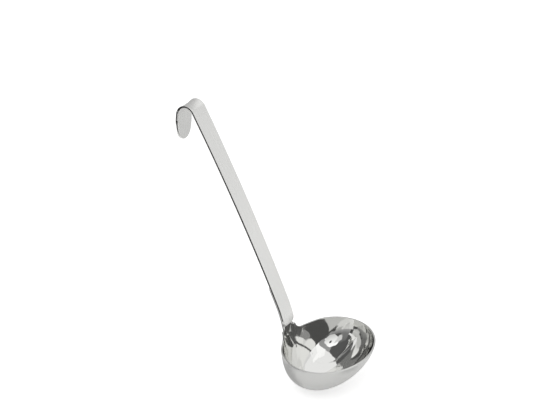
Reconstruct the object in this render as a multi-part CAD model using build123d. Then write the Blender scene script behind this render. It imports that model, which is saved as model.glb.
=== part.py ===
from build123d import *
import math
import os

# A soup ladle in stainless steel: an oval bowl drawn from sheet with its neck and
# tab in one piece, and a flat bar handle that laps over the front of the tab. Three
# spot welds hold the lap, and a small dressed seam closes its lower end.
# Millimetres and degrees. The bowl's rim is level and the handle leans towards -X.
# The origin is on the axis of the hook's bend, where a rail passes when it hangs.

# Bowl, outside sizes without the flare
BOWL_WIDTH = 100.0
BOWL_LENGTH = 80.0
BOWL_DEPTH = 43.0
BOWL_SHEET = 1.5
BASE_FLAT = 6.0
# How far the deepest point lies from the rim's centre towards the handle
SET_BACK = 10.5
# Powers that say how full the bowl's sides are and how early the set-back begins
FLANK_POWER = 1.65
CORNER_POWER = 2.08
SET_BACK_POWER = 1.2
DEPTH_SHARES = (0, 0.06, 0.13, 0.21, 0.3, 0.42, 0.54, 0.66, 0.77, 0.86, 0.93, 0.975, 1)
SECTION_POINTS = 40

# On the handle's side the wall flares backwards as it comes up to the rim
FLARE = 2.0
FLARE_DEPTH = 14.0
FLARE_HALF_WIDTH = 42.0

# Beside the neck the rim is cut a little lower, then it runs out level
DIP = 1.6
DIP_FLOOR_HALF_WIDTH = 24.0
DIP_HALF_WIDTH = 40.0
DIP_ROUND = 80.0

# Neck: from the rim up to where the handle's line begins
NECK_HEIGHT = 9.0
NECK_SET_BACK = 2.3
NECK_CORNER = 5.8
NECK_LEDGE = 1.5
NECK_ROUND = 0.8
SHOULDER_RADIUS = 8.0
NECK_SHARES = (0.25, 0.5, 0.75, 1)

# Tab: the bowl's own strip behind the handle's foot, a little narrower than the foot
TAB_RUN = 43.0
TAB_INSET = 1.3
TAB_TIP_SHEET = 1.3
TAB_CORNER = 5.0

# Handle: flat bar, its runs measured along the face that lies on the tab
BAR_THICKNESS = 2.5
FOOT_WIDTH = 18.2
TOP_WIDTH = 20.0
TAPER_END = 8.0
TAPER_ROUND = 1500.0
FOOT_START = 0.9
FOOT_CORNER = 4.5
FOOT_LEAN = 11.8
BEND_LEAN = 23.3
TOP_LEAN = 28.5
LOWER_RUN = 22.0
STEM_RUN = 193.0
HOOK_RADIUS = 7.0
HOOK_TURN = 152.0
TONGUE_RUN = 26.7
TONGUE_WIDTH = 24.0
# How far down the tongue lie the points of its side, and how far out
TONGUE_SHARES = ((0.33, 1), (0.57, 0.94), (0.74, 0.85), (0.885, 0.65), (0.965, 0.38))
EDGE_ROUND = 0.7

# Welds
SPOT_DIAMETER = 4.5
SPOT_DEPTH_IN_BAR = 0.7
SPOT_DEPTH_IN_TAB = 0.45
SPOT_SHARES = (0.24, 0.5, 0.76)
SEAM_LEG = 0.9

# Cuts run this far past what they cut
OVERRUN = 5.0

# Length and turn of each stretch of the handle, from the neck's top to the tongue's end
STRETCHES = (
    (LOWER_RUN, BEND_LEAN - FOOT_LEAN),
    (STEM_RUN, TOP_LEAN - BEND_LEAN),
    (HOOK_RADIUS * math.radians(HOOK_TURN), HOOK_TURN),
    (TONGUE_RUN, 0),
)
HOOK_START = LOWER_RUN + STEM_RUN
HOOK_END = HOOK_START + STRETCHES[2][0]
TONGUE_END = HOOK_END + TONGUE_RUN
INNER_WALL_X = BOWL_SHEET - BOWL_LENGTH / 2 - FLARE
TAB_WIDTH = FOOT_WIDTH - 2 * TAB_INSET
NECK_WIDTH = FOOT_WIDTH + 2 * NECK_LEDGE


def along(run):
    """Place and lean of the lap face, `run` up from the neck's top."""
    x, z, lean = INNER_WALL_X - NECK_SET_BACK, NECK_HEIGHT, FOOT_LEAN
    for length, turn in STRETCHES:
        step = min(run, length)
        bend = turn * step / length
        half = math.radians(bend) / 2
        chord = step * math.sin(half) / half if half else step
        heading = math.radians(lean) + half
        x -= chord * math.sin(heading)
        z += chord * math.cos(heading)
        lean += bend
        run -= step
    return x, z, lean


def lap_point(run, front=0):
    """Point `front` mm in front of the lap face, on the middle plane."""
    x, z, lean = along(run)
    turn = math.radians(lean)
    return Vector(x + front * math.cos(turn), 0, z + front * math.sin(turn))


def face_line(start, end, front=0):
    """Edges that follow the handle from one run to another, at one depth."""
    edges, run = [], 0
    for length, turn in STRETCHES:
        low, high = max(start, run), min(end, run + length)
        run += length
        if low >= high:
            continue
        first, middle, last = (lap_point(r, front) for r in (low, (low + high) / 2, high))
        if turn:
            edges.append(Edge.make_three_point_arc(first, middle, last))
        else:
            edges.append(Edge.make_line(first, last))
    return edges


def bar(start, end, back, front, width):
    """Bar of one width and thickness that follows the handle's line."""
    inner, outer = face_line(start, end, back), face_line(start, end, front)
    ends = [Edge.make_line(lap_point(r, back), lap_point(r, front)) for r in (start, end)]
    side = Face(Wire(inner + outer + ends))
    return extrude(side, width / 2, dir=(0, 1, 0), both=True)


def through_x(outline):
    """Prism that carries a front view outline right through the ladle along X."""
    reach = BOWL_LENGTH + STEM_RUN
    return extrude(Plane.YZ * outline, reach, both=True)


def flare(depth, y):
    """How far the wall stands back from the plain oval, on the handle's side."""
    fade = max(0, 1 - depth / FLARE_DEPTH) ** 2
    spread = max(0, 1 - (y / FLARE_HALF_WIDTH) ** 4) ** 2
    return FLARE * fade * spread


def bowl_section(share, inset):
    """Level section of the bowl at a share of its depth, `inset` within its outside."""
    flat_share = BASE_FLAT / BOWL_WIDTH
    reach = (1 - flat_share**CORNER_POWER) ** (1 / FLANK_POWER)
    fullness = (1 - (reach * share) ** FLANK_POWER) ** (1 / CORNER_POWER)
    half_length = (BOWL_LENGTH / 2 - inset) * fullness
    half_width = (BOWL_WIDTH / 2 - inset) * fullness
    depth = (BOWL_DEPTH - inset) * share
    back = SET_BACK * share**SET_BACK_POWER
    points = []
    for k in range(SECTION_POINTS):
        turn = 2 * math.pi * k / SECTION_POINTS
        x, y = half_length * math.cos(turn), half_width * math.sin(turn)
        if x < 0:
            x -= flare(depth, y)
        points.append((x - back, y, -depth))
    return make_face(Spline(*points, periodic=True))


def bowl_shell():
    """The drawn cup: its outside less its inside, open at the rim."""
    outside = loft([bowl_section(share, 0) for share in DEPTH_SHARES])
    inside = loft([bowl_section(share, BOWL_SHEET) for share in DEPTH_SHARES])
    return outside - inside


def neck_section(share, half_width):
    """Section of the neck's blank: curved like the rim below and flat at the top."""
    top_x, top_z, top_lean = along(0)
    start_slope = -2 * FLARE / FLARE_DEPTH
    end_slope = -math.tan(math.radians(top_lean))
    blend = share * share * (3 - 2 * share)
    x = INNER_WALL_X + (top_x - INNER_WALL_X) * blend
    x += start_slope * top_z * share * (1 - share) ** 2 - end_slope * top_z * share**2 * (1 - share)
    turn = math.radians(top_lean * blend)
    oval = 1 - math.sqrt(1 - (2 * half_width / (BOWL_WIDTH - 2 * BOWL_SHEET)) ** 2)
    wall_bow = (BOWL_LENGTH / 2 - BOWL_SHEET) * oval + FLARE - flare(0, half_width)
    bow = wall_bow * (1 - share**3)
    place = Plane(
        origin=(x, 0, top_z * share),
        x_dir=(math.cos(turn), 0, math.sin(turn)),
        z_dir=(-math.sin(turn), 0, math.cos(turn)),
    )
    corners = [(bow, -half_width), (0, 0), (bow, half_width)]
    behind = [(cx - BOWL_SHEET, cy) for cx, cy in reversed(corners)]
    if bow:
        front, back = ThreePointArc(*corners), ThreePointArc(*behind)
    else:
        front, back = Line(corners[0], corners[2]), Line(behind[0], behind[2])
    ends = Line(corners[2], behind[0]) + Line(behind[2], corners[0])
    return place * make_face(front + back + ends)


def neck_blank():
    """Sheet that goes on up from the rim to the tab, wider than the neck will be."""
    half_width = NECK_WIDTH / 2 + SHOULDER_RADIUS
    rim = bowl_section(0, 0) - bowl_section(0, BOWL_SHEET)
    root = rim & Pos(-BOWL_LENGTH / 2) * Rectangle(BOWL_LENGTH, 2 * half_width)
    return loft([root] + [neck_section(share, half_width) for share in NECK_SHARES])


def tab_blank():
    """Strip behind the handle's foot, which thins towards its tip."""
    middle_sheet = (BOWL_SHEET + TAB_TIP_SHEET) / 2
    back = Edge.make_three_point_arc(
        lap_point(0, -BOWL_SHEET), lap_point(TAB_RUN / 2, -middle_sheet), lap_point(TAB_RUN, -TAB_TIP_SHEET)
    )
    ends = [Edge.make_line(lap_point(0), back @ 0), Edge.make_line(lap_point(TAB_RUN), back @ 1)]
    side = Face(Wire(face_line(0, TAB_RUN) + [back] + ends))
    return extrude(side, TAB_WIDTH / 2, dir=(0, 1, 0), both=True)


def level_with(outline, y):
    """The vertices of a front view outline that lie at one height."""
    return [v for v in outline.vertices() if math.isclose(v.Y, y, rel_tol=1e-6)]


def dipped_rim():
    """Front view of the bowl's handle side: a dipped rim and two shoulders to a tall neck."""
    side, low, neck = BOWL_WIDTH / 2 + OVERRUN, -BOWL_DEPTH - OVERRUN, NECK_WIDTH / 2
    right = [(side, low), (side, 0), (DIP_HALF_WIDTH, 0), (DIP_FLOOR_HALF_WIDTH, -DIP)]
    right += [(neck, -DIP), (neck, NECK_CORNER + SHOULDER_RADIUS)]
    left = [(-x, y) for x, y in reversed(right)]
    outline = make_face(Polyline(*right, *left, close=True))
    for x, radius in ((DIP_HALF_WIDTH, DIP_ROUND), (DIP_FLOOR_HALF_WIDTH, DIP_ROUND), (neck, SHOULDER_RADIUS)):
        level = level_with(outline, -DIP) if x < DIP_HALF_WIDTH else outline.vertices()
        outline = fillet([v for v in level if math.isclose(abs(v.X), x, rel_tol=1e-6)], radius)
    return outline


def back_outline():
    """Front view of the bowl's handle side with the neck's ledges and the tab."""
    tall = lap_point(TAB_RUN).Z
    above = Pos(0, NECK_CORNER) * Rectangle(BOWL_WIDTH, tall, align=(Align.CENTER, Align.MIN))
    strip = Rectangle(TAB_WIDTH, tall, align=(Align.CENTER, Align.MIN))
    outline = dipped_rim() - above + strip
    outline = fillet(level_with(outline, NECK_CORNER), NECK_ROUND)
    return fillet(level_with(outline, tall), TAB_CORNER)


def bowl():
    """Bowl, neck and tab in one pressing, trimmed to its front view outline."""
    blank = bowl_shell() + neck_blank() + tab_blank()
    reach = BOWL_WIDTH + STEM_RUN
    waste = Rectangle(2 * reach, 2 * reach) - back_outline()
    return blank - extrude(Plane.YZ * waste, -reach)


def foot_outline(grow):
    """Front view of the handle below the hook, `grow` wider and lower than its foot."""
    low, high = lap_point(FOOT_START).Z - grow, lap_point(HOOK_START).Z + OVERRUN
    knee = lap_point(HOOK_START - TAPER_END).Z
    foot, top = FOOT_WIDTH / 2 + grow, TOP_WIDTH / 2 + grow
    right, left = [(foot, low), (top, knee), (top, high)], [(-top, high), (-top, knee), (-foot, low)]
    outline = make_face(Polyline(*right, *left, close=True))
    outline = fillet(level_with(outline, knee), TAPER_ROUND)
    return fillet(level_with(outline, low), FOOT_CORNER + grow)


def tongue_outline():
    """Front view of the hook: the bar's width above, then a broader tongue with a round end."""
    half, top, tip = TOP_WIDTH / 2, lap_point(HOOK_START).Z, lap_point(TONGUE_END).Z
    side = [(half, top)]
    for down, out in TONGUE_SHARES:
        side.append((TONGUE_WIDTH / 2 * out, top + (tip - top) * down))
    mirrored = [(-x, z) for x, z in reversed(side)]
    right = Spline(*side, (0, tip), tangents=((0, -1), (-1, 0)))
    left = Spline((0, tip), *mirrored, tangents=((-1, 0), (0, 1)))
    over = Polyline(mirrored[-1], (-half, top + BOWL_WIDTH), (half, top + BOWL_WIDTH), side[0])
    return make_face(right + left + over)


def handle_blank():
    """Stem that widens towards the hook, and the hook with its tongue."""
    stem = bar(0, HOOK_START, 0, BAR_THICKNESS, TOP_WIDTH) & through_x(foot_outline(0))
    hook = bar(HOOK_START, TONGUE_END, 0, BAR_THICKNESS, TONGUE_WIDTH)
    return stem + (hook & through_x(tongue_outline()))


def is_broad(face):
    """True for the bar's front and lap faces, which carry its width."""
    steep = face.normal_at().Y ** 2 < face.normal_at().X ** 2 + face.normal_at().Z ** 2
    return steep and face.area > 2 * BAR_THICKNESS * TOP_WIDTH


def rounded(blank):
    """Bar with its long edges and its ends' edges broken, as polished flat bar has."""
    broad = [face for face in blank.faces() if is_broad(face)]
    outer = [e for e in blank.edges() if sum(e in face.edges() for face in broad) == 1]
    return fillet(outer, EDGE_ROUND)


def spot(share):
    """One weld nugget across the lap, at a share of the tab's run."""
    x, z, lean = along(FOOT_START + (TAB_RUN - FOOT_START) * share)
    turn = math.radians(lean)
    across = Plane(origin=(x, 0, z), z_dir=(math.cos(turn), 0, math.sin(turn)))
    disc = Circle(SPOT_DIAMETER / 2)
    return extrude(across * disc, SPOT_DEPTH_IN_BAR) + extrude(across * disc, -SPOT_DEPTH_IN_TAB)


def seam():
    """Dressed seam round the lower end of the handle's foot, on the tab's face."""
    layer = bar(0, FOOT_START + FOOT_CORNER, 0, SEAM_LEG, TAB_WIDTH)
    return layer & through_x(foot_outline(SEAM_LEG) - foot_outline(0))


def main():
    os.makedirs("parts", exist_ok=True)
    spots = [spot(share) for share in SPOT_SHARES]
    parts = {"bowl": bowl(), "handle": rounded(handle_blank())}
    for nugget in spots:
        parts["bowl"] -= nugget
        parts["handle"] -= nugget
    parts["spot_welds"] = Compound(children=spots)
    parts["foot_seam"] = seam()
    to_hook = Pos(-lap_point(HOOK_START, -HOOK_RADIUS))
    for name, shape in parts.items():
        export_step(to_hook * shape, f"parts/{name}.step")
        print(name, len(shape.solids()), round(shape.volume, 1), shape.is_valid)


main()
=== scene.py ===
# %% [markdown]
# # A soup ladle in stainless steel
# The ladle is a pressing and a bent bar, joined by welds: an oval bowl with its neck
# and tab, and a flat handle with a hook. The CAD model gives every place. This lesson
# dresses it. The bowl and the bar are made again as smooth meshes, so that a mirror
# finish shows no facets, and the camera, the floor, the lamp and the studio's cards are
# set so that the ladle looks as it does in the photograph.

# %% Load the frame
import math

import bmesh
import bpy
from mathutils import Matrix, Vector


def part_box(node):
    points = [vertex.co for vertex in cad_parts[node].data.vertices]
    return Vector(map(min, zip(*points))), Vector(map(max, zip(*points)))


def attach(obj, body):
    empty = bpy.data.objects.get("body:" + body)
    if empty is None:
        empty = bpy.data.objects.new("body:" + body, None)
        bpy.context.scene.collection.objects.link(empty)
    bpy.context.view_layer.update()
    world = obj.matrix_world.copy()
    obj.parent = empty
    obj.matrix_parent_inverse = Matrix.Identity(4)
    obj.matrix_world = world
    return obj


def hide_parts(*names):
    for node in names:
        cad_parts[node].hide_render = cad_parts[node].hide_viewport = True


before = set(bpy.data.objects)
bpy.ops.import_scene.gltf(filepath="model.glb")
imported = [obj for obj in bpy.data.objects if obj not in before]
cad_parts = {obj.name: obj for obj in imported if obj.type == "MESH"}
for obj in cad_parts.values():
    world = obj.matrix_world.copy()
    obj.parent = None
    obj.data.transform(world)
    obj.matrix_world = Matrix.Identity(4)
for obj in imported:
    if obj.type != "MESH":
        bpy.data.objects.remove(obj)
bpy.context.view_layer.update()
MM = 0.001
print("nodes", sorted(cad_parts))

# %% [markdown]
# ## The sizes
# These are the CAD model's sizes in millimetres, with two small differences. The bar's
# edges are sharper in front and rounder behind, as the dark line along its side shows.
# The ends of the rim's dip run out in a soft curve where the CAD model has arcs. The
# bowl is drawn about its rim's centre, and everything moves to the frame at the end,
# where the origin is the axis of the hook's bend.

# %% Sizes of the bowl, neck and tab
BOWL_WIDTH, BOWL_LENGTH, BOWL_DEPTH, SHEET = 100.0, 80.0, 43.0, 1.5
BASE_FLAT, SET_BACK = 6.0, 10.5
FLANK_POWER, CORNER_POWER, SET_BACK_POWER = 1.65, 2.08, 1.2
FLARE, FLARE_DEPTH, FLARE_HALF_WIDTH = 2.0, 14.0, 42.0
DIP, DIP_FLOOR_HALF_WIDTH, DIP_HALF_WIDTH = 1.6, 23.0, 41.0
NECK_HEIGHT, NECK_SET_BACK, NECK_CORNER, NECK_ROUND = 9.0, 2.3, 5.8, 0.8
NECK_HALF_WIDTH, SHOULDER_RADIUS = 10.6, 8.0
TAB_RUN, TAB_HALF_WIDTH, TAB_CORNER = 43.0, 7.8, 5.0
RIM_ROUND = 0.4

# %% Sizes of the handle
BAR_THICKNESS, FOOT_WIDTH, TOP_WIDTH = 2.5, 18.2, 20.0
FOOT_START, FOOT_CORNER = 0.9, 4.5
FOOT_LEAN, BEND_LEAN, TOP_LEAN = 11.8, 23.3, 28.5
LOWER_RUN, STEM_RUN, HOOK_RADIUS, HOOK_TURN = 22.0, 193.0, 7.0, 152.0
TONGUE_RUN, TONGUE_WIDTH = 26.7, 24.0
FRONT_ROUND, BACK_ROUND = 0.3, 1.0
STRETCHES = (
    (LOWER_RUN, BEND_LEAN - FOOT_LEAN),
    (STEM_RUN, TOP_LEAN - BEND_LEAN),
    (HOOK_RADIUS * math.radians(HOOK_TURN), HOOK_TURN),
    (TONGUE_RUN, 0),
)
HOOK_START = LOWER_RUN + STEM_RUN
HOOK_END = HOOK_START + STRETCHES[2][0]
TONGUE_END = HOOK_END + TONGUE_RUN
WALL_X = SHEET - BOWL_LENGTH / 2 - FLARE
print("bar's length along its back", round(TONGUE_END - FOOT_START, 1), "mm")

# %% [markdown]
# ## The line of the handle
# A real bar is cut flat and then bent. So the handle's line is a function of the run
# along it: two long easy bends, the tight bend of the hook, and the straight tongue. A
# curve object could hold the line too, but a function can be asked for any point, and
# both the bar and the tab behind it follow this one.

# %% The handle's line
def along(run):
    """Place and lean of the lap face, `run` mm up from the neck's top."""
    x, z, lean = WALL_X - NECK_SET_BACK, NECK_HEIGHT, FOOT_LEAN
    for length, turn in STRETCHES:
        step = min(run, length)
        bend = turn * step / length
        half = math.radians(bend) / 2
        chord = step * math.sin(half) / half if half else step
        heading = math.radians(lean) + half
        x -= chord * math.sin(heading)
        z += chord * math.cos(heading)
        lean += bend
        run -= step
    return x, z, math.radians(lean)


def on_handle(run, y, front):
    """Point beside the handle's line, `front` mm in front of the lap face."""
    x, z, lean = along(run)
    return Vector((x + front * math.cos(lean), y, z + front * math.sin(lean)))


HOOK_AXIS = on_handle(HOOK_START, 0, -HOOK_RADIUS)


def to_frame(point):
    """A point about the rim's centre in mm, moved to the frame in metres."""
    return (point - HOOK_AXIS) * MM


print("hook axis above the rim", round(HOOK_AXIS.z, 2), "mm")

# %% [markdown]
# ## Colour and nodes
# Steel has hardly any colour of its own. Its colours are written as sRGB hex values,
# as a paint program shows them, and one function turns them to the linear values that
# Blender computes with. A second small function adds a node with its settings and
# links, and serves every material.

# %% Helpers for materials
def linear(hex_colour):
    """An sRGB hex colour as linear RGBA."""
    parts = [int(hex_colour[k : k + 2], 16) / 255 for k in (1, 3, 5)]
    return [p / 12.92 if p <= 0.04045 else ((p + 0.055) / 1.055) ** 2.4 for p in parts] + [1]


WHITE = linear("#FFFFFF")


def add_node(tree, kind, settings=None, **inputs):
    """Adds a node. An input is a value or another node's socket; `_0` is the first input."""
    node = tree.nodes.new(kind)
    for name, value in (settings or {}).items():
        setattr(node, name, value)
    for name, value in inputs.items():
        key = int(name[1:]) if name[1:].isdigit() else name.replace("_", " ")
        socket = node.inputs[key]
        if isinstance(value, bpy.types.NodeSocket):
            tree.links.new(value, socket)
        else:
            socket.default_value = value
    return node


def new_material(name):
    """An empty node material and its tree."""
    material = bpy.data.materials.new(name)
    material.use_nodes = True
    material.node_tree.nodes.clear()
    return material, material.node_tree


# %% [markdown]
# ## Mirror-polished stainless steel
# The inside of the bowl is polished like a mirror, so nearly all that shows there is
# the studio. A drawn cup is never quite even, though. Soft waves, a little over a
# centimetre across, bend the reflections everywhere, and towards the two sides the
# drawing leaves stronger marks that run down the wall. Both could be dents in the mesh,
# but they are only some hundredths of a millimetre deep, and a bump draws them from
# noise and leaves the shape alone.

# %% Mirror steel
WAVE_SIZE, WAVE_HEIGHT = 14, 0.05
MARK_WIDTH, MARK_LENGTH = 7, 30
MARKS_BEGIN, MARKS_FULL, MARKS_STRENGTH = 24, 42, 6.0


def cup_waves(tree):
    """Height of the waves all over the cup, with the draw marks added at its sides."""
    place = add_node(tree, "ShaderNodeTexCoord")
    waves = add_node(
        tree, "ShaderNodeTexNoise", {"noise_dimensions": "3D"},
        Vector=place.outputs["Object"], Scale=1 / (WAVE_SIZE * MM), Detail=1.0, Roughness=0.4,
    )
    stretched = add_node(
        tree, "ShaderNodeMapping", Vector=place.outputs["Object"],
        Scale=(1 / (MARK_WIDTH * MM), 1 / (MARK_WIDTH * MM), 1 / (MARK_LENGTH * MM)),
    )
    marks = add_node(
        tree, "ShaderNodeTexNoise", {"noise_dimensions": "3D"},
        Vector=stretched.outputs["Vector"], Scale=1.0, Detail=1.0, Roughness=0.4,
    )
    parts = add_node(tree, "ShaderNodeSeparateXYZ", Vector=place.outputs["Object"])
    aside = add_node(tree, "ShaderNodeMath", {"operation": "ABSOLUTE"}, _0=parts.outputs["Y"])
    strength = add_node(
        tree, "ShaderNodeMapRange",
        Value=aside.outputs[0], From_Min=MARKS_BEGIN * MM, From_Max=MARKS_FULL * MM,
        To_Min=0.0, To_Max=MARKS_STRENGTH,
    )
    return add_node(
        tree, "ShaderNodeMath", {"operation": "MULTIPLY_ADD"},
        _0=marks.outputs["Fac"], _1=strength.outputs["Result"], _2=waves.outputs["Fac"],
    )


def mirror_steel():
    """Polished stainless steel with the faint waves of a drawn cup."""
    material, tree = new_material("mirror_polished_stainless_steel")
    height = cup_waves(tree)
    bump = add_node(
        tree, "ShaderNodeBump", Strength=0.5, Distance=WAVE_HEIGHT * MM, Height=height.outputs[0],
    )
    steel = add_node(
        tree, "ShaderNodeBsdfPrincipled",
        Base_Color=linear("#E4E4E2"), Metallic=1.0, Roughness=0.05, Normal=bump.outputs["Normal"],
    )
    add_node(tree, "ShaderNodeOutputMaterial", Surface=steel.outputs["BSDF"])
    return material


MIRROR = mirror_steel()
print("finish", MIRROR.name)

# %% [markdown]
# ## Satin stainless steel
# The outside of the bowl is satin: it was rubbed with a fine abrasive, whose scratches
# are far too small to see. A bump isn't needed for them, because roughness alone blurs
# what the steel reflects in the same way. Faint clouds in it keep the steel from looking
# like plastic. The same function serves the bar's long edges, which are polished until
# they nearly mirror, and the welds, which are ground down and left dull.

# %% Satin steel
ROUGHNESS_SPREAD = 0.04


def satin_steel(name, colour, roughness, cloud_size):
    """Satin stainless steel, with faint clouds of a size in mm."""
    material, tree = new_material(name)
    place = add_node(tree, "ShaderNodeTexCoord")
    clouds = add_node(
        tree, "ShaderNodeTexNoise", {"noise_dimensions": "3D"},
        Vector=place.outputs["Object"], Scale=1 / (cloud_size * MM), Detail=4.0, Roughness=0.55,
    )
    spread = add_node(
        tree, "ShaderNodeMapRange", Value=clouds.outputs["Fac"],
        To_Min=roughness - ROUGHNESS_SPREAD, To_Max=roughness + ROUGHNESS_SPREAD,
    )
    steel = add_node(
        tree, "ShaderNodeBsdfPrincipled",
        Base_Color=linear(colour), Metallic=1.0, Roughness=spread.outputs["Result"],
    )
    add_node(tree, "ShaderNodeOutputMaterial", Surface=steel.outputs["BSDF"])
    return material


SATIN = satin_steel("satin_stainless_steel", "#D0D0CE", 0.34, 6)
EDGE = satin_steel("polished_bar_edge", "#E0E0DE", 0.12, 4)
WELD = satin_steel("dressed_weld_steel", "#C4C4C2", 0.4, 1.5)
print("finishes", SATIN.name, EDGE.name, WELD.name)

# %% [markdown]
# ## Brushed bar
# The bar was brushed with an abrasive belt, so its fine lines run along it. They are
# far finer than a pixel; here they are drawn 0.3 mm apart so that they just show. On
# Object coordinates they would run straight on where the bar bends. So the pattern
# follows the blank's own UV map, which holds the run and the width in metres, and bends
# round the hook with the steel.

# %% Brushed steel
LINE_LENGTH, LINE_GAP, LINE_HEIGHT = 25, 0.3, 0.01


def brushed_steel():
    """Stainless bar, brushed along its run."""
    material, tree = new_material("brushed_stainless_bar")
    blank = add_node(tree, "ShaderNodeUVMap", {"uv_map": "blank"})
    stretched = add_node(
        tree, "ShaderNodeMapping",
        Vector=blank.outputs["UV"], Scale=(1 / (LINE_LENGTH * MM), 1 / (LINE_GAP * MM), 1),
    )
    lines = add_node(
        tree, "ShaderNodeTexNoise", {"noise_dimensions": "2D"},
        Vector=stretched.outputs["Vector"], Scale=1.0, Detail=3.0, Roughness=0.6,
    )
    spread = add_node(
        tree, "ShaderNodeMapRange",
        Value=lines.outputs["Fac"], To_Min=0.2, To_Max=0.32,
    )
    bump = add_node(
        tree, "ShaderNodeBump",
        Strength=0.15, Distance=LINE_HEIGHT * MM, Height=lines.outputs["Fac"],
    )
    steel = add_node(
        tree, "ShaderNodeBsdfPrincipled",
        Base_Color=linear("#E2E2E0"), Metallic=1.0, Roughness=spread.outputs["Result"],
        Normal=bump.outputs["Normal"],
    )
    add_node(tree, "ShaderNodeOutputMaterial", Surface=steel.outputs["BSDF"])
    return material


BRUSHED = brushed_steel()
print("finish", BRUSHED.name)

# %% [markdown]
# ## The bowl's surface
# The cup is one sheet, so it is made as one surface and then given its thickness. A
# spun cup could be scaled to an oval, but the real one isn't so even: its level sections
# shrink with the depth and slide towards the handle. On the handle's side the wall
# flares out and the rim dips before it climbs over a rounded shoulder to the neck. So
# each point is worked out from the way round and the height.

# %% The cup's formula
HALF_LENGTH, HALF_WIDTH = BOWL_LENGTH / 2 - SHEET, BOWL_WIDTH / 2 - SHEET
INSIDE_DEPTH = BOWL_DEPTH - SHEET


def flare(depth, y):
    """How far the wall stands back from the plain oval, on the handle's side."""
    fade = max(0, 1 - depth / FLARE_DEPTH) ** 2
    spread = max(0, 1 - (y / FLARE_HALF_WIDTH) ** 4) ** 2
    return FLARE * fade * spread


def cup_point(turn, z):
    """Point of the cup's inside at an angle round it and a height under the rim."""
    share = min(-z / INSIDE_DEPTH, 1)
    reach = (1 - (BASE_FLAT / BOWL_WIDTH) ** CORNER_POWER) ** (1 / FLANK_POWER)
    fullness = (1 - (reach * share) ** FLANK_POWER) ** (1 / CORNER_POWER)
    x = HALF_LENGTH * fullness * math.cos(turn)
    y = HALF_WIDTH * fullness * math.sin(turn)
    if x < 0:
        x -= flare(-z, y)
    return Vector((x - SET_BACK * share**SET_BACK_POWER, y, z))


def neck_point(turn, z):
    """Point of the neck's front face above the rim, up to the start of the lap."""
    top_x, top_z, lean = along(0)
    share = z / top_z
    blend = share * share * (3 - 2 * share)
    x = WALL_X + (top_x - WALL_X) * blend
    x -= 2 * FLARE / FLARE_DEPTH * top_z * share * (1 - share) ** 2
    x += math.tan(lean) * top_z * share**2 * (1 - share)
    y = HALF_WIDTH * math.sin(turn)
    bow = HALF_LENGTH * (1 - abs(math.cos(turn))) + FLARE - flare(0, y)
    bow *= 1 - share**3
    return Vector((x + bow * math.cos(lean * blend), y, z + bow * math.sin(lean * blend)))


print("bowl's inside", 2 * HALF_WIDTH, "x", 2 * HALF_LENGTH, "x", INSIDE_DEPTH, "mm")

# %% [markdown]
# The rim's outline in the front view says how high each column of the surface goes.
# Going out from the middle it is level along the neck's ledge, turns its small corner,
# runs down the shoulder's arc to the dip, and then climbs slowly back to the rim.

# %% The rim's outline
SHOULDER_Y = NECK_HALF_WIDTH + SHOULDER_RADIUS
SHOULDER_Z = SHOULDER_RADIUS - DIP
ARC_TOP = NECK_CORNER - NECK_ROUND
LEDGE_MIDDLE, RIM_END = 8.8, HALF_WIDTH - 0.4
CORNER_STEPS, ARC_STEPS, RISE_STEPS = 4, 12, 20


def neck_corner():
    """The ledge beside the tab, and the small round corner at its end."""
    points = [(TAB_HALF_WIDTH, NECK_CORNER), (LEDGE_MIDDLE, NECK_CORNER)]
    arc_y = SHOULDER_Y - math.sqrt(SHOULDER_RADIUS**2 - (SHOULDER_Z - ARC_TOP) ** 2)
    for k in range(CORNER_STEPS + 1):
        turn = math.radians(90 - 90 * k / CORNER_STEPS)
        y = arc_y - NECK_ROUND * (1 - math.cos(turn))
        points.append((y, ARC_TOP + NECK_ROUND * math.sin(turn)))
    return points


def shoulder_arc():
    """The shoulder's arc, from the corner down to the dip."""
    points = []
    start = math.asin((SHOULDER_Z - ARC_TOP) / SHOULDER_RADIUS)
    for k in range(1, ARC_STEPS + 1):
        turn = start + (math.pi / 2 - start) * k / ARC_STEPS
        y = SHOULDER_Y - SHOULDER_RADIUS * math.cos(turn)
        points.append((y, SHOULDER_Z - SHOULDER_RADIUS * math.sin(turn)))
    return points


def dip_rise():
    """The floor of the dip, and its slow rise to the level rim."""
    points = []
    for k in range(1, RISE_STEPS):
        y = SHOULDER_Y + (RIM_END - SHOULDER_Y) * math.sin(math.pi / 2 * k / RISE_STEPS)
        rise = min(max((y - DIP_FLOOR_HALF_WIDTH) / (DIP_HALF_WIDTH - DIP_FLOOR_HALF_WIDTH), 0), 1)
        points.append((y, -DIP * (1 - rise * rise * (3 - 2 * rise))))
    return points


print("shoulders end", SHOULDER_Y, "mm from the middle")

# %% [markdown]
# The columns stand close together where the outline bends and wider apart round the
# front, where the rim is level. One side is worked out, and the other mirrors it.

# %% The surface's columns
MIDDLE_STEPS, FRONT_STEPS, FRONT_END = 6, 64, 89


def columns():
    """Every column of the surface as (angle, height of its top), once round the bowl."""
    outline = [(TAB_HALF_WIDTH * k / MIDDLE_STEPS, NECK_CORNER) for k in range(MIDDLE_STEPS)]
    outline += neck_corner() + shoulder_arc() + dip_rise()
    side = [(math.pi - math.asin(y / HALF_WIDTH), z) for y, z in outline]
    angles = [FRONT_END - 2 * FRONT_END * k / FRONT_STEPS for k in range(FRONT_STEPS + 1)]
    front = [(math.radians(angle), 0) for angle in angles]
    other = [(2 * math.pi - turn, z) for turn, z in side[:0:-1]]
    return side + front + other


COLUMNS = columns()
print("columns round the bowl", len(COLUMNS))

# %% [markdown]
# ## The bowl's blank
# A grid operator gives the sheet as a flat blank, one column for each angle and one row
# for each height, and every vertex then moves to its place on the cup. The two ends of
# the grid meet and are merged. The small hole that is left at the bottom is closed by
# faces that run to its middle.

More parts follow.
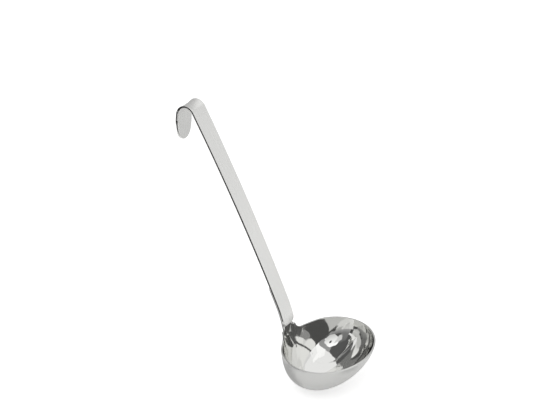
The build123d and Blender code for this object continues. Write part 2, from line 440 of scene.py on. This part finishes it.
# %% Bend the blank
CUP_ROWS, STRETCH_DEPTH = 72, 9.0
MERGE_GAP, BOTTOM_BAND = 0.001, 0.1


def cup_height(row, top):
    """Height of a row: even rings below, and the upper ones stretched to the top."""
    z = -INSIDE_DEPTH * math.cos(math.pi / 2 * row / CUP_ROWS)
    if z > -STRETCH_DEPTH:
        z += top * (1 + z / STRETCH_DEPTH)
    return z


def bend_blank(mesh):
    """A flat grid whose vertices move to their places on the cup and the neck."""
    count = len(COLUMNS)
    bmesh.ops.create_grid(mesh, x_segments=count, y_segments=CUP_ROWS, size=0.5)
    for vert in mesh.verts:
        column = round((vert.co.x + 0.5) * count)
        row = round((vert.co.y + 0.5) * CUP_ROWS)
        turn, top = COLUMNS[column % count]
        z = cup_height(row, top)
        vert.co = neck_point(turn, z) if z > 0 else cup_point(turn, z)
    bmesh.ops.remove_doubles(mesh, verts=mesh.verts[:], dist=MERGE_GAP)


def new_parts(made, kind):
    """The vertices or edges that an operator made."""
    return [part for part in made["geom"] if isinstance(part, kind)]


def close_bottom(mesh):
    """Closes the hole at the bottom with faces that run to its middle."""
    low = BOTTOM_BAND - INSIDE_DEPTH
    edges = [e for e in mesh.edges if e.is_boundary and e.verts[0].co.z < low]
    made = bmesh.ops.extrude_edge_only(mesh, edges=edges)
    centre = new_parts(made, bmesh.types.BMVert)
    bmesh.ops.pointmerge(mesh, verts=centre, merge_co=(-SET_BACK, 0, -INSIDE_DEPTH))


# %% [markdown]
# ## The tab
# The tab is the part of the pressing that goes up behind the bar, where the two are
# welded. A plate of its own would show a seam that the real one doesn't have. So the tab
# is extruded from the neck's top edge, row by row: first up the last of the neck, then
# along the handle's line, with close rows for the round corners of its tip.

# %% Grow the tab
NECK_ROWS, TAB_STEPS, EVEN_ROWS, TIP_STEPS = (7.0, 8.2), 18, 16, 8
SIDE_SLACK, TOP_BAND = 0.01, 0.3


def tab_half_width(run):
    """Half width of the tab, which has round corners at its tip."""
    left = TAB_RUN - run
    if left >= TAB_CORNER:
        return TAB_HALF_WIDTH
    return TAB_HALF_WIDTH - TAB_CORNER + math.sqrt(TAB_CORNER**2 - (TAB_CORNER - left) ** 2)


def on_neck(share, z):
    """Place on the neck at a share of the tab's half width."""
    return neck_point(math.pi - math.asin(share * TAB_HALF_WIDTH / HALF_WIDTH), z)


def on_tab(share, run):
    """Place on the tab at a share of its half width."""
    return on_handle(run, share * tab_half_width(run), 0)


def is_top_edge(edge):
    """Whether an edge lies on the open top of the neck, between the ledges."""
    return edge.is_boundary and all(
        abs(vert.co.y) < TAB_HALF_WIDTH + SIDE_SLACK and vert.co.z > NECK_CORNER - TOP_BAND
        for vert in edge.verts
    )


def grow_tab(mesh):
    """Extrudes the neck's top edge up behind the handle."""
    rows = [(on_neck, z) for z in NECK_ROWS]
    rows += [(on_tab, TAB_RUN * k / TAB_STEPS) for k in range(EVEN_ROWS)]
    for k in range(TIP_STEPS + 1):
        rows.append((on_tab, TAB_RUN - TAB_CORNER * (1 - math.sin(math.pi / 2 * k / TIP_STEPS))))
    edges = [edge for edge in mesh.edges if is_top_edge(edge)]
    for place, at in rows:
        made = bmesh.ops.extrude_edge_only(mesh, edges=edges)
        edges = new_parts(made, bmesh.types.BMEdge)
        verts = new_parts(made, bmesh.types.BMVert)
        widest = max(abs(vert.co.y) for vert in verts)
        for vert in verts:
            vert.co = place(vert.co.y / widest, at)


# %% [markdown]
# ## The finished bowl
# The faces are turned to look into the bowl, because that side is the polished one. The
# outside could be worked out as well, but a pressed sheet is about equally thick
# everywhere, and that is what Solidify gives. It also gives the outside its satin, and
# Bevel makes the rounded edge that a rim has once it was polished.

# %% Make the bowl
def move_to_frame(mesh):
    """Moves a mesh from the rim's centre in mm to the frame in metres."""
    for vert in mesh.verts:
        vert.co = to_frame(vert.co)


def make_bowl():
    """The cup with its neck and tab as one sheet, which faces inwards."""
    mesh = bmesh.new()
    bend_blank(mesh)
    close_bottom(mesh)
    grow_tab(mesh)
    bmesh.ops.recalc_face_normals(mesh, faces=mesh.faces[:])
    lowest = min(mesh.faces, key=lambda face: face.calc_center_median().z)
    if lowest.normal.z < 0:
        bmesh.ops.reverse_faces(mesh, faces=mesh.faces[:])
    move_to_frame(mesh)
    return mesh


def finish_mesh(mesh, name, materials):
    """Turns a bmesh into an object with smooth faces."""
    data = bpy.data.meshes.new(name)
    mesh.to_mesh(data)
    mesh.free()
    for polygon in data.polygons:
        polygon.use_smooth = True
    for material in materials:
        data.materials.append(material)
    piece = bpy.data.objects.new(name, data)
    bpy.context.scene.collection.objects.link(piece)
    return piece


def add_modifier(piece, name, kind, **settings):
    """Adds a modifier with its settings."""
    modifier = piece.modifiers.new(name, kind)
    for setting, value in settings.items():
        setattr(modifier, setting, value)


bowl = finish_mesh(make_bowl(), "bowl_pressing", [MIRROR, SATIN])
add_modifier(
    bowl, "wall", "SOLIDIFY", thickness=SHEET * MM, offset=-1, use_even_offset=True,
    use_quality_normals=True, material_offset=1, material_offset_rim=1,
)
add_modifier(
    bowl, "edge", "BEVEL", width=RIM_ROUND * MM, segments=3, limit_method="ANGLE",
    angle_limit=math.radians(50), profile=0.5, material=-1,
)
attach(bowl, "root")
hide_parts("bowl")
print("bowl faces", len(bowl.data.polygons))

# %% [markdown]
# ## The handle's width
# The bar widens a little from its foot to the hook. The tongue is broader than the bar,
# swells over its first third and closes in a round tip. Its outline is a smooth curve
# through a few points, each a share of the tongue's fall and of its greatest width.

# %% Width of the bar along its run
TIP_START, TIP_SHARE, TIP_HALF_WIDTH = 0.965, 0.38, 0.4
TONGUE_SHARES = (
    (0, 0.8333), (0.17, 0.93), (0.33, 1), (0.57, 0.94), (0.74, 0.85), (0.885, 0.65),
    (TIP_START, TIP_SHARE), (1, 0),
)
TAPER_END = 8.0
FOOT_Z, KNEE_Z = along(FOOT_START)[1], along(HOOK_START - TAPER_END)[1]
HOOK_Z, TIP_Z = along(HOOK_START)[1], along(TONGUE_END)[1]


def smooth_table(table, at):
    """Value of a table of (place, value) at a place, on a curve through its points."""
    i = next((k for k, row in enumerate(table[1:]) if at <= row[0]), len(table) - 2)
    before, (a, va), (b, vb) = table[max(i - 1, 0)], table[i], table[i + 1]
    after = table[min(i + 2, len(table) - 1)]
    span = b - a
    slope_a = (vb - before[1]) / (b - before[0])
    slope_b = (after[1] - va) / (after[0] - a)
    t = (at - a) / span
    return (
        va * (2 * t**3 - 3 * t * t + 1) + slope_a * span * (t**3 - 2 * t * t + t)
        + vb * (3 * t * t - 2 * t**3) + slope_b * span * (t**3 - t * t)
    )


def stem_half_width(z):
    """Half width of the stem, which has round corners at its foot."""
    share = min((z - FOOT_Z) / (KNEE_Z - FOOT_Z), 1)
    half = (FOOT_WIDTH + (TOP_WIDTH - FOOT_WIDTH) * share) / 2
    left = z - FOOT_Z
    if left < FOOT_CORNER:
        half -= FOOT_CORNER - math.sqrt(max(FOOT_CORNER**2 - (FOOT_CORNER - left) ** 2, 0))
    return half


def tongue_half_width(z):
    """Half width of the tongue, whose tip is an arc."""
    down = min((HOOK_Z - z) / (HOOK_Z - TIP_Z), 1)
    if down <= TIP_START:
        return TONGUE_WIDTH / 2 * smooth_table(TONGUE_SHARES, down)
    past = (down - TIP_START) / (1 - TIP_START)
    return max(TONGUE_WIDTH / 2 * TIP_SHARE * math.sqrt(1 - past**2), TIP_HALF_WIDTH)


def half_width(run):
    """Half width of the bar at a run."""
    z = along(run)[1]
    if run <= HOOK_START:
        return stem_half_width(z)
    if run < (HOOK_START + HOOK_END) / 2 or z > HOOK_Z:
        return TOP_WIDTH / 2
    return tongue_half_width(z)


print("width in the middle of the stem", round(2 * half_width(HOOK_START / 2), 2), "mm")

# %% [markdown]
# ## The handle's section
# The bar's section is a rectangle with rounded corners, drawn as a ring of points. A
# long box could be bent by a modifier, but its width and its corners are easier to keep
# when the ring is extruded station by station along the handle's line. Where the bar
# turns tightly, its outer face stretches and sinks a little in the middle. It shows at
# the top of the hook, and the CAD model leaves it out.

# %% Rings of the bar
FACE_STEPS, ROUND_STEPS = 12, 4
FOOT_RINGS, STEM_RINGS, HOOK_RINGS, TONGUE_RINGS = 10, 90, 40, 36
DISH, DISH_REACH = 0.7, 6.0


def ring_places(half):
    """(across, depth) round the bar's section, from its back and counter-clockwise."""
    r, s = min(BACK_ROUND, half), min(FRONT_ROUND, half)
    corners = (
        (half - r, r, r, -90),
        (half - s, BAR_THICKNESS - s, s, 0),
        (s - half, BAR_THICKNESS - s, s, 90),
        (r - half, r, r, 180),
    )
    places = []
    for k, (y, d, radius, start) in enumerate(corners):
        for j in range(ROUND_STEPS + 1):
            turn = math.radians(start + 90 * j / ROUND_STEPS)
            places.append((y + radius * math.cos(turn), d + radius * math.sin(turn)))
        if k in (1, 3):
            first, depth = places[-1]
            width = corners[(k + 1) % 4][0] - first
            places += [(first + width * j / FACE_STEPS, depth) for j in range(1, FACE_STEPS)]
    return places


def stations():
    """Runs of the rings: close together at the foot, the hook and the tongue's end."""
    quarter = math.pi / 2
    foot = [FOOT_CORNER * (1 - math.cos(quarter * k / FOOT_RINGS)) for k in range(FOOT_RINGS + 1)]
    foot = [FOOT_START + step for step in foot]
    stem = [(HOOK_START - foot[-1]) * k / STEM_RINGS for k in range(1, STEM_RINGS + 1)]
    hook = [(HOOK_END - HOOK_START) * k / HOOK_RINGS for k in range(1, HOOK_RINGS + 1)]
    tongue = [TONGUE_RUN * math.sin(quarter * k / TONGUE_RINGS) for k in range(1, TONGUE_RINGS + 1)]
    return (
        foot + [foot[-1] + step for step in stem] + [HOOK_START + step for step in hook]
        + [HOOK_END + step for step in tongue]
    )


def sink(run, share):
    """Depth by which the bend's outer face sinks, at a share of the half width."""
    way = (run - HOOK_START + DISH_REACH) / (HOOK_END - HOOK_START + 2 * DISH_REACH)
    if not 0 < way < 1:
        return 0
    return DISH * math.sin(math.pi * way) * (1 - share * share)


print("rings of the bar", len(stations()), "with", len(ring_places(TOP_WIDTH / 2)), "points")

# %% [markdown]
# ## The finished handle
# While the bar grows, each vertex keeps its run and its place across the blank. From
# these come the UV map that the brushed lines follow, and the faces of the long edges,
# which are polished.

# %% Make the bar
def next_ring(mesh, edges, ring):
    """Extrudes the bar's open end; gives the new edges, and the new ring in its old order."""
    made = bmesh.ops.extrude_edge_only(mesh, edges=edges)
    # The new vertices come in another order, and each still lies on its old one.
    new = {vert.co.copy().freeze(): vert for vert in new_parts(made, bmesh.types.BMVert)}
    return new_parts(made, bmesh.types.BMEdge), [new[vert.co.copy().freeze()] for vert in ring]


def lay_out(mesh, layer, blank):
    """Writes the blank's UV map, and gives the long edges their own finish."""
    for face in mesh.faces:
        for loop in face.loops:
            run, y, _ = blank[loop.vert]
            loop[layer].uv = (run * MM, y * MM)
        face.material_index = int(all(blank[vert][2] for vert in face.verts))


def make_handle():
    """The bar, extruded ring by ring along its line."""
    mesh = bmesh.new()
    layer = mesh.loops.layers.uv.new("blank")
    count = len(ring_places(TOP_WIDTH / 2))
    ring = bmesh.ops.create_circle(mesh, segments=count, radius=1)["verts"]
    edges = mesh.edges[:]
    blank = {}
    for k, run in enumerate(stations()):
        if k:
            edges, ring = next_ring(mesh, edges, ring)
        half = half_width(run)
        for vert, (y, d) in zip(ring, ring_places(half)):
            vert.co = on_handle(run, y, d - sink(run, y / half) * (d / BAR_THICKNESS))
            blank[vert] = (run, y, abs(y) > half - FRONT_ROUND)
    lay_out(mesh, layer, blank)
    bmesh.ops.holes_fill(mesh, edges=[e for e in mesh.edges if e.is_boundary], sides=0)
    bmesh.ops.recalc_face_normals(mesh, faces=mesh.faces[:])
    move_to_frame(mesh)
    return mesh


handle = finish_mesh(make_handle(), "handle_bar", [BRUSHED, EDGE])
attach(handle, "root")
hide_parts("handle")
print("handle faces", len(handle.data.polygons))

# %% [markdown]
# ## The welds
# The seam under the handle's foot and the spots inside the lap keep their CAD shapes,
# because they are too small or too hidden for facets to show. They only get the finish
# of ground-down weld metal.

# %% Finish the welds
for name in ("foot_seam", "spot_welds"):
    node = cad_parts[name]
    node.data.materials.clear()
    node.data.materials.append(WELD)
    print(name, "has", len(node.data.polygons), "faces")

# %% [markdown]
# ## The camera
# Its place, tilt and lens were fitted to the ladle's outline in the photograph: it
# stands 1.4 m away, to the right of the front, and looks down at 28 degrees. The small
# shift frames the ladle as the photograph does.

# %% Camera
IMAGE_WIDTH, SENSOR_WIDTH = 553, 36
AZIMUTH, ELEVATION, ROLL = 30.2357, 28.1614, 0.7099
DISTANCE, FOCAL_PX = 1400.0, 1565.15
AIM = Vector((-75, 0, 110))
OFFSET_X, OFFSET_Y = -20.533, 11.420


def camera_axes():
    """Right, up and back directions of the camera."""
    a, e, r = (math.radians(angle) for angle in (AZIMUTH, ELEVATION, ROLL))
    back = Vector((math.sin(a) * math.cos(e), -math.cos(a) * math.cos(e), math.sin(e)))
    right = Vector((math.cos(a), math.sin(a), 0))
    up = back.cross(right)
    return math.cos(r) * right - math.sin(r) * up, math.sin(r) * right + math.cos(r) * up, back


right, up, back = camera_axes()
lens = bpy.data.cameras.new("camera")
lens.sensor_width = SENSOR_WIDTH
lens.lens = SENSOR_WIDTH * FOCAL_PX / IMAGE_WIDTH
lens.shift_x = -OFFSET_X / IMAGE_WIDTH
lens.shift_y = OFFSET_Y / IMAGE_WIDTH
lens.clip_start, lens.clip_end = 0.05, 50
camera = bpy.data.objects.new("camera", lens)
bpy.context.scene.collection.objects.link(camera)
facing = Matrix((right, up, back)).transposed().to_4x4()
camera.matrix_world = Matrix.Translation(to_frame(AIM + back * DISTANCE)) @ facing
bpy.context.scene.camera = camera
print("lens", round(lens.lens, 1), "mm")

# %% [markdown]
# ## Floor
# The ground of the photograph is plain white. Stronger lamps could make it so, but they
# would wash out the steel as well. So the floor is pale and matt, and it shows a little
# brighter to the camera and in the metal: it reads as white and keeps the ladle's
# shadow.

# %% Floor
FLOOR_LIFT, METAL_LIFT, FLOOR_HALF_WIDTH = 0.52, 0.22, 4


def pale_floor():
    """Matt pale floor that reads as white and keeps its shadows."""
    material, tree = new_material("pale_matt_floor")
    path = add_node(tree, "ShaderNodeLightPath")
    matt = add_node(tree, "ShaderNodeBsdfDiffuse", Color=linear("#E8E8E8"))
    camera_lift = add_node(
        tree, "ShaderNodeMath", {"operation": "MULTIPLY"},
        _0=path.outputs["Is Camera Ray"], _1=FLOOR_LIFT,
    )
    lift = add_node(
        tree, "ShaderNodeMath", {"operation": "MULTIPLY_ADD"},
        _0=path.outputs["Is Glossy Ray"], _1=METAL_LIFT, _2=camera_lift.outputs[0],
    )
    shine = add_node(tree, "ShaderNodeEmission", Color=WHITE, Strength=lift.outputs[0])
    both = add_node(tree, "ShaderNodeAddShader", _0=matt.outputs[0], _1=shine.outputs[0])
    add_node(tree, "ShaderNodeOutputMaterial", Surface=both.outputs[0])
    return material


FLOOR_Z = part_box("bowl")[0][2]
floor_mesh = bmesh.new()
bmesh.ops.create_grid(floor_mesh, x_segments=1, y_segments=1, size=FLOOR_HALF_WIDTH)
bmesh.ops.translate(floor_mesh, verts=floor_mesh.verts[:], vec=(0, 0, FLOOR_Z))
floor = finish_mesh(floor_mesh, "floor", [pale_floor()])
print("floor at", round(FLOOR_Z / MM, 2), "mm")

# %% [markdown]
# ## World
# The walls and the ceiling could be planes, but the world's plain white has no corners
# that the mirror would show. It is full white to the camera and in the metal, and a
# little weaker as a light, so that the floor isn't washed out.

# %% World
WORLD_LIGHT, WORLD_SEEN = 0.75, 1.0


def white_world():
    """A white world that is seen brighter than it lights."""
    world = bpy.data.worlds.new("studio")
    world.use_nodes = True
    sky = world.node_tree
    sky.nodes.clear()
    path = add_node(sky, "ShaderNodeLightPath")
    seen = path.outputs["Is Camera Ray"]
    for ray in ("Is Glossy Ray", "Is Transmission Ray"):
        larger = add_node(
            sky, "ShaderNodeMath", {"operation": "MAXIMUM"}, _0=seen, _1=path.outputs[ray],
        )
        seen = larger.outputs[0]
    level = add_node(
        sky, "ShaderNodeMapRange", Value=seen, To_Min=WORLD_LIGHT, To_Max=WORLD_SEEN,
    )
    plain = add_node(
        sky, "ShaderNodeBackground", Color=WHITE, Strength=level.outputs["Result"],
    )
    add_node(sky, "ShaderNodeOutputWorld", Surface=plain.outputs[0])
    return world


bpy.context.scene.world = white_world()
print("world", bpy.context.scene.world.name, "lights at", WORLD_LIGHT)

# %% [markdown]
# ## What the mirror sees
# A mirror shows its surroundings, and here those are a photographer's studio: white
# walls, a dark room behind the camera, a six-sided softbox with the camera in front of
# its middle, and a grey backdrop and a stand beside it. A picture wrapped round the
# scene could show them too, but each of these can be moved by itself. They were placed
# by following the camera's rays through the bowl to where they leave it. Each is a card
# that bends round the bowl at about a metre and a half, and the nearer ones hide the
# farther ones. A card's table lists azimuths with its lower and upper elevation, in
# degrees, as seen from the bowl. Only the metal sees the cards, so they change no shadow.

# %% How a card is made
BOWL_PLACE = to_frame(Vector((-5, 0, -20)))
CARD_ROWS = 6


def direction(azimuth, elevation):
    """Unit vector to an azimuth from the front and an elevation, both in degrees."""
    a, e = math.radians(azimuth), math.radians(elevation)
    return Vector((math.sin(a) * math.cos(e), -math.cos(a) * math.cos(e), math.sin(e)))


def glow(name, levels, heights=(-1, 1)):
    """Emission, clear from behind, whose level runs from the first to the second height."""
    material, tree = new_material(name)
    place = add_node(tree, "ShaderNodeTexCoord")
    parts = add_node(tree, "ShaderNodeSeparateXYZ", Vector=place.outputs["Object"])
    level = add_node(
        tree, "ShaderNodeMapRange", Value=parts.outputs["Z"],
        From_Min=heights[0], From_Max=heights[1], To_Min=levels[0], To_Max=levels[1],
    )
    light = add_node(tree, "ShaderNodeEmission", Color=WHITE, Strength=level.outputs["Result"])
    clear = add_node(tree, "ShaderNodeBsdfTransparent")
    side = add_node(tree, "ShaderNodeNewGeometry")
    both = add_node(
        tree, "ShaderNodeMixShader",
        _0=side.outputs["Backfacing"], _1=light.outputs[0], _2=clear.outputs[0],
    )
    add_node(tree, "ShaderNodeOutputMaterial", Surface=both.outputs[0])
    return material


def metal_only(piece):
    """Lets only reflections see a stage object."""
    piece.visible_camera = False
    piece.visible_diffuse = False
    piece.visible_transmission = False
    piece.visible_volume_scatter = False
    piece.visible_shadow = False
    print(piece.name, "is seen by the metal alone")


def card(name, distance, levels, *table):
    """A bent card from (azimuth, lower, upper elevation) rows; levels at its foot and top."""
    mesh = bmesh.new()
    steps = len(table) - 1
    bmesh.ops.create_grid(mesh, x_segments=steps, y_segments=CARD_ROWS, size=0.5)
    for vert in mesh.verts:
        azimuth, low, high = table[round((vert.co.x + 0.5) * steps)]
        elevation = low + (high - low) * (vert.co.y + 0.5)
        vert.co = BOWL_PLACE + direction(azimuth, elevation) * distance
    heights = [vert.co.z for vert in mesh.verts]
    above = [face for face in mesh.faces if face.calc_center_median().z > BOWL_PLACE.z]
    bmesh.ops.reverse_faces(mesh, faces=above)
    metal_only(finish_mesh(mesh, name, [glow(name, levels, (min(heights), max(heights)))]))


# %% [markdown]
# The dark room and the dim wall make the dark patches on either side of the softbox's
# image, and the bright walls the white field on the bowl's near left. The low cards
# stand in front along the horizon. Below the bowl's own height a card's faces stay
# turned away and clear, so that the floor shows there.

# %% The studio's cards
card(
    "dark_room", 1.75, (0.11, 0.11), (-108, 36, 44), (-100, 34, 50), (-92, 32, 55), (-80, 31, 58),
    (-70, 28, 61), (-60, 22.5, 64), (-45, 21, 66), (-30, 18.5, 67), (-20, 18, 67),
    (-10, 17, 66), (0, 17, 65), (10, 17, 62), (20, 17, 56),
)
card("dim_wall", 1.72, (0.24, 0.16), (-24, 16, 30), (-17, 16, 38), (-8, 16, 40), (2, 16, 40))
card(
    "grey_backdrop", 1.66, (0.34, 0.4), (16, 44, 60.5), (20, 42, 59.5), (30, 38, 56),
    (40, 36, 50), (48, 20, 43.5), (54, 14, 38), (60, 12, 32), (66, 12, 24),
)
card("stand", 1.62, (0.12, 0.12), (38, 6, 18), (50, 6, 18), (62, 6, 16))
card("low_strip", 1.7, (0.5, 0.2), (-24, 4, 18), (-12, 4, 18), (15, 4, 17), (38, 4, 16))
card("dark_front", 1.6, (0.08, 0.08), (-80, -8, 10), (-60, -8, 15), (-24, -8, 15))
card("dark_front_right", 1.6, (0.08, 0.08), (-24, -8, 3), (10, -8, 3), (45, -8, 3))
card("side_wall", 1.75, (0.92, 0.8), (96, 10, 34), (130, 8, 34), (167, 6, 34))
card("bright_wall", 1.8, (1.24, 1.16), (40, 18, 66), (74, 18, 64))
card("white_wall", 1.8, (1.1, 1.04), (74, 18, 64), (97, 18, 60))
card(
    "softbox", 1.6, (0.65, 1.4), (-7, 35, 39.5), (-4, 31.5, 42.5), (0, 28.5, 44.5), (4, 26.5, 45),
    (12, 22.5, 46), (24, 16.5, 47), (36, 14.5, 41), (44, 17, 33), (49, 24, 28),
)
card(
    "camera_in_front", 1.5, (0.1, 0.1),
    (24.2, 30.5, 34.5), (26.2, 29.5, 35.5), (30.4, 29.5, 35.5), (32.4, 30.5, 34.5),
)
card(
    "back_wall", 1.7, (0.4, 0.72),
    (168, -6, 40), (185, -6, 46), (235, -6, 46), (262, -6, 30),
)

# %% [markdown]
# ## Cards close to the ladle
# Some reflections in the photograph come from near the ladle. A few small cards stand
# in for them. They aren't known things: each has the place, outline and grey that give
# the metal the patch which the photograph shows. Like the studio's cards they are seen
# from one side, and by the metal alone. Their places are the frame's, in metres.

# %% How a flat card is made
PAPER_Z = FLOOR_Z + 0.001
SIDE_Y, NECK_SIDE_Y = 0.02, 0.019


def face_towards(mesh, facing):
    """Turns every face of a mesh to look in a direction."""
    for face in mesh.faces:
        face.normal_update()
        if face.normal.dot(Vector(facing)) < 0:
            face.normal_flip()


def flat_card(name, level, facing, corners):
    """A flat card through its corners, seen from the side that it faces."""
    mesh = bmesh.new()
    made = bmesh.ops.create_circle(mesh, cap_ends=True, segments=len(corners), radius=1)
    for vert, corner in zip(made["verts"], corners):
        vert.co = corner
    face_towards(mesh, facing)
    metal_only(finish_mesh(mesh, name, [glow(name, (level, level))]))


def level_card(name, level, z, facing, *places):
    """A level card at a height, from its corners' (x, y)."""
    flat_card(name, level, (0, 0, facing), [(x, y, z) for x, y in places])


def upright_card(name, level, y, facing, *places):
    """An upright card at a distance beside the middle, from its corners' (x, z)."""
    flat_card(name, level, (0, facing, 0), [(x, y, z) for x, z in places])


# %% [markdown]
# In the photograph the bar is dark where the bowl mirrors it. A narrow dark flag just
# over the bar's front, bent as the bar is, does that: the bowl sees the flag, and the
# bar itself sees only the flag's clear back.

# %% Flag over the bar
FLAG_START, FLAG_GAP, FLAG_STEPS, FLAG_LEVEL = 3, 1, 12, 0.1


def bar_flag():
    """A narrow dark flag over the bar's front."""
    mesh = bmesh.new()
    bmesh.ops.create_grid(mesh, x_segments=FLAG_STEPS, y_segments=1, size=0.5)
    for vert in mesh.verts:
        run = FLAG_START + (HOOK_START - FLAG_START) * (vert.co.x + 0.5)
        vert.co = to_frame(on_handle(run, TOP_WIDTH * vert.co.y, BAR_THICKNESS + FLAG_GAP))
    face_towards(mesh, (1, 0, 0))
    metal_only(finish_mesh(mesh, "bar_flag", [glow("bar_flag", (FLAG_LEVEL, FLAG_LEVEL))]))


bar_flag()

# %% [markdown]
# Two reflectors hang over the bowl and brighten its walls, also by way of a second
# reflection. The foot card lights the lower end of the bar, and two flags darken single
# patches of the bowl's wall. A grey card behind the hook, seen from above alone, and two
# grey sheets on the floor take the glare off the bar and off the bowl's outside. The
# sheet under the bowl's left side is painted shadow: it is the shade under the bowl, as
# the bowl's lower outside mirrors it. A dark sheet in front, where the white table ends,
# draws the dark line along the bar's side.

# %% Reflectors, sheets and flags
level_card(
    "white_reflector", 0.78, -0.17, -1, (0.118, -0.034), (0.141, -0.034), (0.141, -0.076),
    (0.118, -0.076), (0.112, -0.06), (0.112, -0.04),
)
level_card(
    "back_reflector", 1.2, -0.175, -1, (0.152, -0.008), (0.165, -0.008), (0.168, -0.003),
    (0.168, 0.006), (0.172, 0.008), (0.172, 0.012), (0.167, 0.018), (0.164, 0.026), (0.152, 0.028),
)
upright_card(
    "foot_card", 0.95, SIDE_Y, -1, (0.106, -0.1957), (0.124, -0.2015), (0.14, -0.2015),
    (0.14, -0.186), (0.106, -0.186),
)
level_card(
    "grey_card_behind", 0.7, -0.1, 1, (-0.03, 0.06), (0.12, 0.06), (0.16, 0.24), (0.0, 0.24),
)
# Painted shadow: a grey sheet on the floor under the bowl's left side, which the bowl's lower
# outside mirrors as the shade under the bowl.
level_card(
    "painted_shadow_under_bowl", 0.55, PAPER_Z, 1, (0.06, -0.06), (0.1, -0.055), (0.122, -0.042),
    (0.128, -0.03), (0.118, -0.018), (0.108, -0.008), (0.085, 0.01), (0.06, 0),
)
level_card(
    "grey_sheet_right", 0.6, PAPER_Z, 1, (0.192, -0.03), (0.215, -0.03), (0.215, 0.02),
    (0.192, 0.01),
)
upright_card(
    "neck_flag", 0.13, NECK_SIDE_Y, 1, (0.1535, -0.2045), (0.1562, -0.2045), (0.1562, -0.2015),
    (0.17, -0.2015), (0.176, -0.2), (0.176, -0.186), (0.172, -0.186), (0.1685, -0.192),
    (0.1695, -0.197), (0.164, -0.197), (0.161, -0.1982), (0.1595, -0.1955), (0.1575, -0.194),
    (0.1545, -0.195),
)
upright_card(
    "side_flag", 0.28, SIDE_Y, 1, (0.106, -0.2), (0.116, -0.2), (0.116, -0.186), (0.106, -0.186),
)
level_card(
    "dark_table_edge", 0.03, PAPER_Z, 1, (-0.9, -0.83), (0.03, -0.06), (0.06, -0.08), (0.1, -0.13),
    (0.12, -0.3), (0.7, -0.3), (0.7, -1.2), (-0.9, -1.2),
)

# %% [markdown]
# ## Key lamp
# One large soft lamp stands high in front and gives the floor its faint shadow. The
# metal doesn't see it, because the cards already give the metal its lights.

# %% Key lamp
KEY_SIZE, KEY_POWER = 0.9, 6
KEY_PLACE, KEY_TARGET = Vector((0.2, -0.9, 1.1)), Vector((0.08, 0, -0.1))

key = bpy.data.lights.new("key", "AREA")
key.shape = "SQUARE"
key.size = KEY_SIZE
key.energy = KEY_POWER
lamp = bpy.data.objects.new("key", key)
bpy.context.scene.collection.objects.link(lamp)
lamp.visible_glossy = False
lamp.location = KEY_PLACE
lamp.rotation_euler = (KEY_TARGET - KEY_PLACE).to_track_quat("-Z", "Y").to_euler()
print("key lamp", round((KEY_TARGET - KEY_PLACE).length, 2), "m away")

# %% [markdown]
# ## Finish
# The view transform stays plain, so that a grey in the photograph is the same grey
# here.

# %% Finish
bpy.context.scene.view_settings.view_transform = "Standard"
